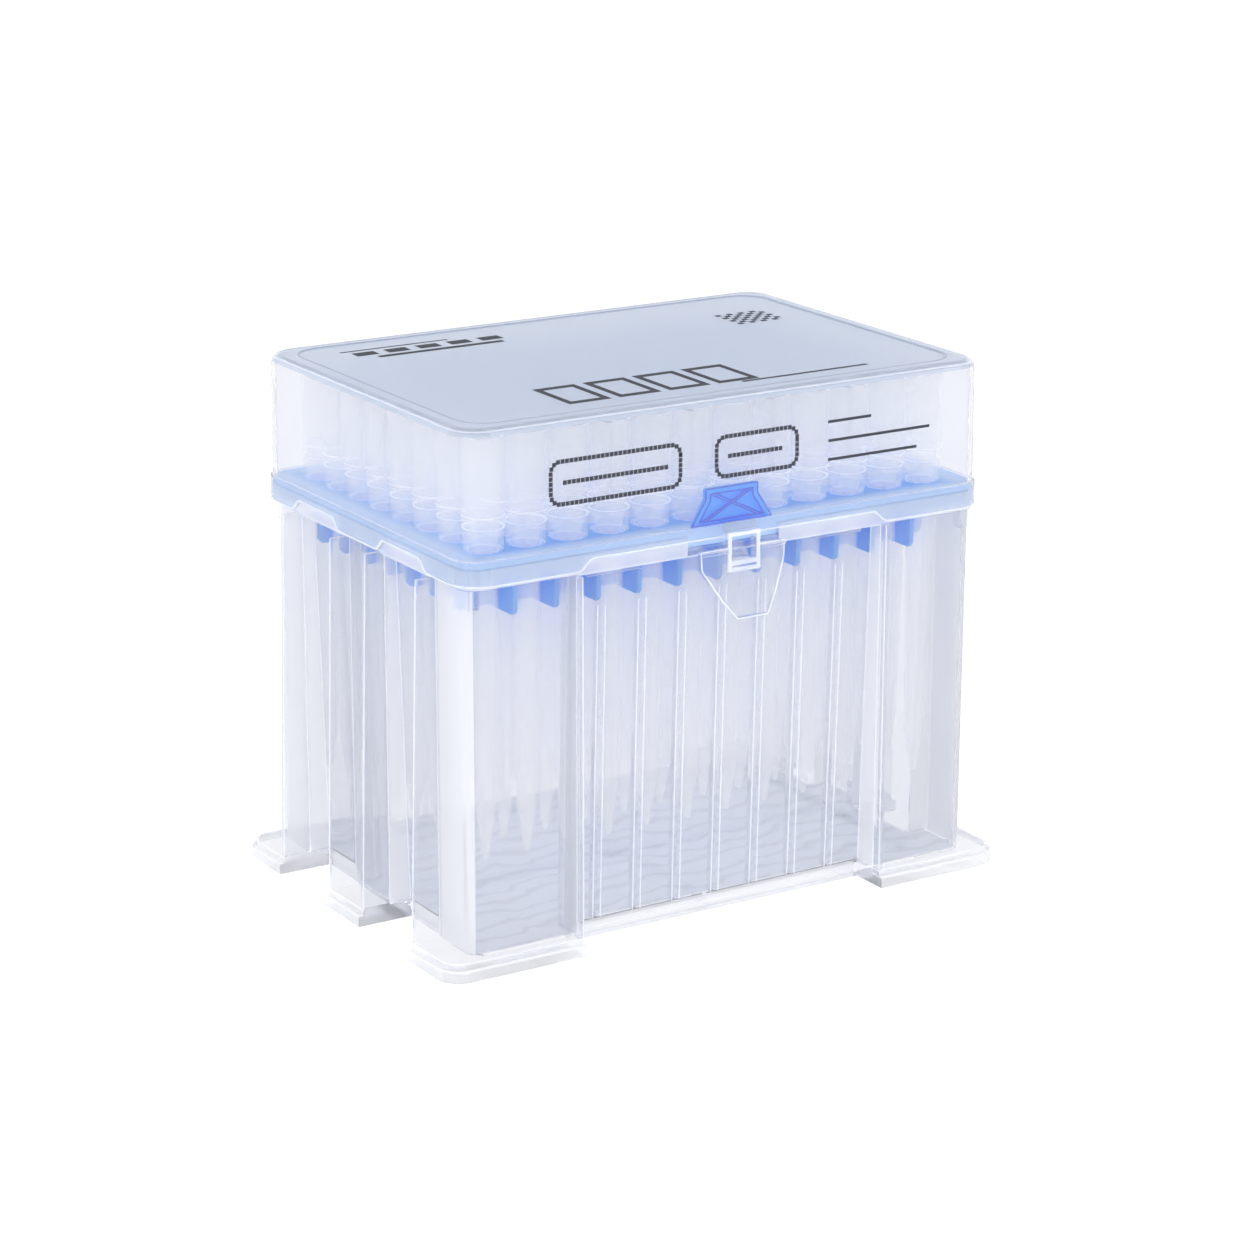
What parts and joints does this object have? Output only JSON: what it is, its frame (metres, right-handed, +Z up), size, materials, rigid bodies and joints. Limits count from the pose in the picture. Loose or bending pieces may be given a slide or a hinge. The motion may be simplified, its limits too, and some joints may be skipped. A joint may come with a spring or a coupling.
{
  "type": "pipette tip box",
  "caption": "Rectangular translucent box with a hinged, latched lid, a blue rack plate and rows of hollow conical tips hanging in it.",
  "frame": {"origin": "centre of the footprint, on the plane that the feet stand on", "axes": "+X along the long side, -Y towards the latch, +Y towards the hinge, +Z up"},
  "size_m": [0.1278, 0.0908, 0.1042],
  "materials": {
    "frosted_pp": "translucent natural polypropylene, fine matt mould finish",
    "frosted_lid_pp": "translucent natural polypropylene lid, satin, matt sunk top panel",
    "clear_pp": "clear polished polypropylene",
    "blue_pp": "blue moulded polypropylene, satin",
    "tip_pp": "translucent virgin polypropylene, smooth"
  },
  "bodies": {
    "base": {"base_box": "frosted_pp", "rack_plate": "blue_pp", "tips_column_01": "tip_pp", "tips_column_02": "tip_pp", "tips_column_03": "tip_pp", "tips_column_04": "tip_pp", "tips_column_05": "tip_pp", "tips_column_06": "tip_pp", "tips_column_07": "tip_pp", "tips_column_08": "tip_pp", "tips_column_09": "tip_pp", "tips_column_10": "tip_pp", "tips_column_11": "tip_pp", "tips_column_12": "tip_pp"},
    "lid": {"lid": "frosted_lid_pp"},
    "latch": {"latch": "clear_pp"}
  },
  "joints": [
    {"name": "lid_hinge", "type": "hinge", "parent": "base", "child": "lid", "pos_m": [0, 0.0425, 0.076], "axis": [-1, 0, 0], "range_deg": [0, 120]},
    {"name": "latch_hinge", "type": "hinge", "parent": "lid", "child": "latch", "pos_m": [0, -0.04194, 0.0794], "axis": [-1, 0, 0], "range_deg": [0, 110]}
  ]
}
